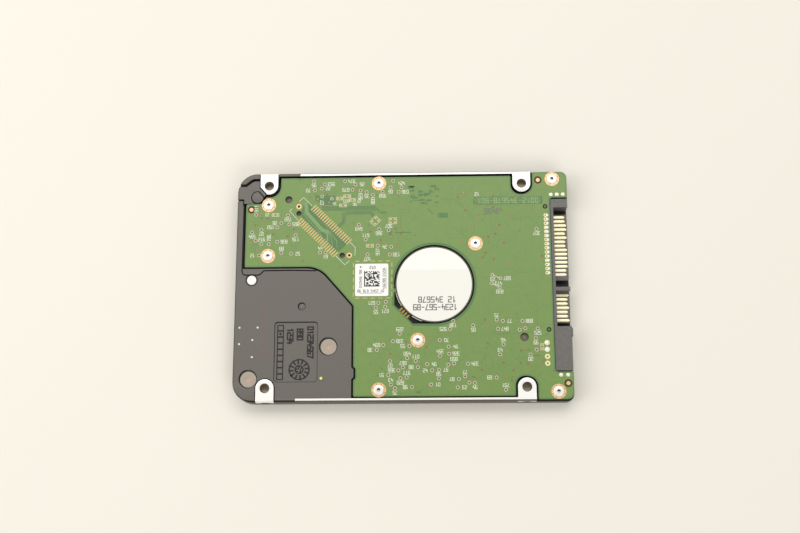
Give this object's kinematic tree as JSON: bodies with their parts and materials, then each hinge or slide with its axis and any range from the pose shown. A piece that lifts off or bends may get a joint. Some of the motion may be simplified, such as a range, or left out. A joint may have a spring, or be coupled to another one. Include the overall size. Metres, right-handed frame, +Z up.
{
  "type": "hard disk drive",
  "caption": "Thin 2.5-inch disk drive lying circuit board up: black cast base with machined pads, green board, motor opening, data and power plug, and platter and actuator inside.",
  "frame": {"origin": "centre of the underside, on the surface the drive lies on", "axes": "+X to the connector end, +Z up out of the circuit board side"},
  "size_m": [0.1002, 0.0698, 0.007],
  "materials": {
    "black_casting": "satin black coat, bare machined pads and rails",
    "steel": "satin",
    "gasket_rubber": "matt",
    "label_film": "matt film",
    "solder_mask": "green solder mask over copper",
    "black_plastic": "moulded",
    "gold": "gold flash",
    "grey_seal": "foil seal",
    "white_plastic": "moulded",
    "flex_film": "polyimide film",
    "nickel": "nickel plate",
    "copper": "enamelled wire",
    "bare_aluminium": "machined",
    "mirror_disk": "sputtered mirror",
    "slider_ceramic": "lapped",
    "filter_felt": "felt"
  },
  "bodies": {
    "chassis": {"base_casting": "black_casting", "top_cover": "steel", "pivot_shaft": "steel", "pivot_screw": "steel", "cover_screw_1": "steel", "cover_screw_2": "steel", "cover_screw_3": "steel", "cover_screw_4": "steel", "cover_screw_5": "steel", "cover_screw_6": "steel", "board_screw_1": "steel", "board_screw_2": "steel", "board_screw_3": "steel", "board_screw_4": "steel", "board_screw_5": "steel", "board_screw_6": "steel", "board_screw_7": "steel", "board_screw_8": "steel", "bearing_sleeve": "steel", "cover_gasket": "gasket_rubber", "cover_label": "label_film", "motor_label": "label_film", "board_sticker": "label_film", "circuit_board": "solder_mask", "sata_housing": "black_plastic", "controller_chip": "black_plastic", "motor_driver_chip": "black_plastic", "memory_chip": "black_plastic", "head_connector": "black_plastic", "insulator_sheet": "black_plastic", "power_contacts": "gold", "signal_contacts": "gold", "service_seal_1": "grey_seal", "service_seal_2": "grey_seal", "service_plug": "white_plastic", "load_ramp": "white_plastic", "motor_flex": "flex_film", "head_flex": "flex_film", "stator_core": "nickel", "lower_yoke": "nickel", "upper_yoke": "nickel", "coil_magnet": "nickel", "stator_winding": "copper", "air_filter": "filter_felt", "breather_filter": "filter_felt"},
    "spindle": {"spindle_hub": "bare_aluminium", "spindle_shaft": "steel", "rotor_magnet": "nickel", "platter": "mirror_disk", "disk_clamp": "steel", "clamp_screw": "steel"},
    "actuator": {"pivot_sleeve": "steel", "actuator_arm": "bare_aluminium", "voice_coil": "copper", "lower_suspension": "steel", "upper_suspension": "steel", "lower_slider": "slider_ceramic", "upper_slider": "slider_ceramic"},
    "latch": {"actuator_latch": "black_plastic"}
  },
  "joints": [
    {"name": "spindle_spin", "type": "hinge", "parent": "chassis", "child": "spindle", "pos_m": [0.0094, 0, 0.0023], "axis": [0, 0, 1], "continuous": true},
    {"name": "actuator_swing", "type": "hinge", "parent": "chassis", "child": "actuator", "pos_m": [-0.03, -0.0065, 0.0025], "axis": [0, 0, 1], "range_deg": [0, 38.5]},
    {"name": "latch_swing", "type": "hinge", "parent": "chassis", "child": "latch", "pos_m": [-0.0436, -0.022, 0.00285], "axis": [0, 0, 1], "range_deg": [-10, 0]}
  ]
}
